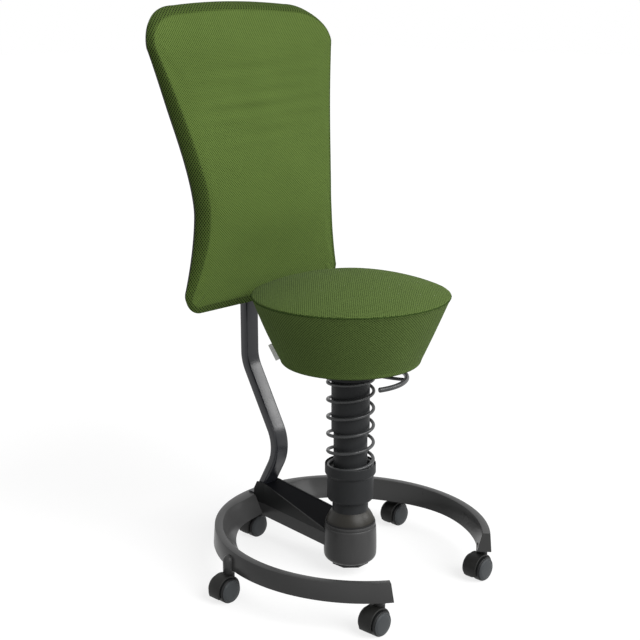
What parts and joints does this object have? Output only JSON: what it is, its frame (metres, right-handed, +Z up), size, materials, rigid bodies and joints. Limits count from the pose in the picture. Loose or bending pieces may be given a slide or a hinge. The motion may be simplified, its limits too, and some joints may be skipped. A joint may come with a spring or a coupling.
{
  "type": "balance stool with backrest",
  "caption": "Swinging sprung stool with a round domed seat and a tall waisted backrest on an S-bent bar, on a C-shaped ring with twin-wheel castors.",
  "frame": {"origin": "on the floor, under the middle of the whole stool's box; the column's axis stands about 13 mm to +X and 48 mm to -Y of it", "axes": "+Z up; the stool faces -Y, its backrest is at +Y, and +X is on the right of someone who looks along +Y from behind the front opening"},
  "size_m": [0.5791, 0.5989, 1.1569],
  "materials": {
    "frame_paint": "satin powder coat",
    "bar_paint": "satin powder coat",
    "plate_paint": "smooth dark coat",
    "knob_plastic": "fine grain",
    "core_rubber": "smooth",
    "ball_plastic": "smooth, slightly worn",
    "bush_plastic": "smooth",
    "spring_steel": "satin coat over steel wire",
    "cylinder_paint": "satin",
    "bright_steel": "zinc plated",
    "seat_fabric": "fine weave",
    "back_fabric": "open diagonal weave",
    "edge_fabric": "tight weave",
    "tag_fabric": "blank woven tape",
    "castor_plastic": "fine grain",
    "wheel_plastic": "smooth"
  },
  "bodies": {
    "base": {"base_ring": "frame_paint", "base_arm": "frame_paint", "back_bracket": "frame_paint", "bracket_top_plate": "plate_paint", "foot_cup": "frame_paint", "backrest_bar": "bar_paint", "bar_foot": "bar_paint", "bar_screws": "bright_steel", "bar_end_cap": "knob_plastic", "backrest_mount": "knob_plastic", "mount_screws": "bright_steel", "bar_bolts": "bright_steel", "back_shell": "knob_plastic", "back_pad": "back_fabric"},
    "adjuster": {"adjuster_knob": "knob_plastic"},
    "swing_core": {"rubber_core": "core_rubber"},
    "column": {"swing_ball": "ball_plastic", "neck_tube": "frame_paint", "spring_cup": "frame_paint", "lower_tube": "frame_paint", "upper_bush": "bush_plastic", "coil_spring": "spring_steel"},
    "carrier": {"upper_tube": "frame_paint", "lower_bush": "bush_plastic", "spring_plate": "frame_paint", "gas_cylinder": "cylinder_paint"},
    "lift": {"gas_rod": "bright_steel"},
    "seat": {"seat_hub": "frame_paint", "lever_pin": "bright_steel", "seat_pan": "knob_plastic", "pan_screws": "bright_steel", "seat_cushion": "seat_fabric", "seat_piping": "edge_fabric", "seat_tag": "tag_fabric"},
    "lever": {"release_lever": "spring_steel"},
    "castor_1": {"castor_hood_1": "castor_plastic", "castor_axle_1": "bright_steel"},
    "wheel_1_left": {"wheel_1_left": "wheel_plastic"},
    "wheel_1_right": {"wheel_1_right": "wheel_plastic"},
    "castor_2": {"castor_hood_2": "castor_plastic", "castor_axle_2": "bright_steel"},
    "wheel_2_left": {"wheel_2_left": "wheel_plastic"},
    "wheel_2_right": {"wheel_2_right": "wheel_plastic"},
    "castor_3": {"castor_hood_3": "castor_plastic", "castor_axle_3": "bright_steel"},
    "wheel_3_left": {"wheel_3_left": "wheel_plastic"},
    "wheel_3_right": {"wheel_3_right": "wheel_plastic"},
    "castor_4": {"castor_hood_4": "castor_plastic", "castor_axle_4": "bright_steel"},
    "wheel_4_left": {"wheel_4_left": "wheel_plastic"},
    "wheel_4_right": {"wheel_4_right": "wheel_plastic"},
    "castor_5": {"castor_hood_5": "castor_plastic", "castor_axle_5": "bright_steel"},
    "wheel_5_left": {"wheel_5_left": "wheel_plastic"},
    "wheel_5_right": {"wheel_5_right": "wheel_plastic"}
  },
  "joints": [
    {"name": "adjuster_turn", "type": "hinge", "parent": "base", "child": "adjuster", "pos_m": [0.01291, -0.04824, 0.028], "axis": [0, 0, 1], "range_deg": [-180, 180]},
    {"name": "column_pitch", "type": "hinge", "parent": "base", "child": "swing_core", "pos_m": [0.01291, -0.04824, 0.101], "axis": [1, 0, 0], "range_deg": [-1.2, 10], "stiffness_Nm_per_rad": 320},
    {"name": "column_roll", "type": "hinge", "parent": "swing_core", "child": "column", "pos_m": [0.01291, -0.04824, 0.101], "axis": [0, 1, 0], "range_deg": [-10, 10], "stiffness_Nm_per_rad": 320},
    {"name": "bounce", "type": "slide", "parent": "column", "child": "carrier", "axis": [0, 0, 1], "range_m": [-0.04, 0], "stiffness_N_per_m": 15000, "springref_m": 0.016, "deforming": ["coil_spring"]},
    {"name": "seat_height", "type": "slide", "parent": "carrier", "child": "lift", "axis": [0, 0, 1], "range_m": [0, 0.12]},
    {"name": "seat_swivel", "type": "hinge", "parent": "lift", "child": "seat", "pos_m": [0.01291, -0.04824, 0.44], "axis": [0, 0, 1], "continuous": true},
    {"name": "lever_lift", "type": "hinge", "parent": "seat", "child": "lever", "pos_m": [0.01291, -0.08224, 0.441], "axis": [1, 0, 0], "range_deg": [-8, 0], "stiffness_Nm_per_rad": 3, "springref_deg": 6.88},
    {"name": "castor_1_swivel", "type": "hinge", "parent": "base", "child": "castor_1", "pos_m": [0.01291, 0.23076, 0.06], "axis": [0, 0, 1], "continuous": true},
    {"name": "wheel_1_left_spin", "type": "hinge", "parent": "castor_1", "child": "wheel_1_left", "pos_m": [-0.00109, 0.23076, 0.025], "axis": [0, 1, 0], "continuous": true},
    {"name": "wheel_1_right_spin", "type": "hinge", "parent": "castor_1", "child": "wheel_1_right", "pos_m": [-0.00109, 0.23076, 0.025], "axis": [0, 1, 0], "continuous": true},
    {"name": "castor_2_swivel", "type": "hinge", "parent": "base", "child": "castor_2", "pos_m": [0.27534, 0.03999, 0.06], "axis": [0, 0, 1], "continuous": true},
    {"name": "wheel_2_left_spin", "type": "hinge", "parent": "castor_2", "child": "wheel_2_left", "pos_m": [0.26134, 0.03999, 0.025], "axis": [0, 1, 0], "continuous": true},
    {"name": "wheel_2_right_spin", "type": "hinge", "parent": "castor_2", "child": "wheel_2_right", "pos_m": [0.26134, 0.03999, 0.025], "axis": [0, 1, 0], "continuous": true},
    {"name": "castor_3_swivel", "type": "hinge", "parent": "base", "child": "castor_3", "pos_m": [0.17528, -0.26841, 0.06], "axis": [0, 0, 1], "continuous": true},
    {"name": "wheel_3_left_spin", "type": "hinge", "parent": "castor_3", "child": "wheel_3_left", "pos_m": [0.16128, -0.26841, 0.025], "axis": [0, 1, 0], "continuous": true},
    {"name": "wheel_3_right_spin", "type": "hinge", "parent": "castor_3", "child": "wheel_3_right", "pos_m": [0.16128, -0.26841, 0.025], "axis": [0, 1, 0], "continuous": true},
    {"name": "castor_4_swivel", "type": "hinge", "parent": "base", "child": "castor_4", "pos_m": [-0.14945, -0.26841, 0.06], "axis": [0, 0, 1], "continuous": true},
    {"name": "wheel_4_left_spin", "type": "hinge", "parent": "castor_4", "child": "wheel_4_left", "pos_m": [-0.16345, -0.26841, 0.025], "axis": [0, 1, 0], "continuous": true},
    {"name": "wheel_4_right_spin", "type": "hinge", "parent": "castor_4", "child": "wheel_4_right", "pos_m": [-0.16345, -0.26841, 0.025], "axis": [0, 1, 0], "continuous": true},
    {"name": "castor_5_swivel", "type": "hinge", "parent": "base", "child": "castor_5", "pos_m": [-0.24951, 0.03999, 0.06], "axis": [0, 0, 1], "continuous": true},
    {"name": "wheel_5_left_spin", "type": "hinge", "parent": "castor_5", "child": "wheel_5_left", "pos_m": [-0.26351, 0.03999, 0.025], "axis": [0, 1, 0], "continuous": true},
    {"name": "wheel_5_right_spin", "type": "hinge", "parent": "castor_5", "child": "wheel_5_right", "pos_m": [-0.26351, 0.03999, 0.025], "axis": [0, 1, 0], "continuous": true}
  ]
}
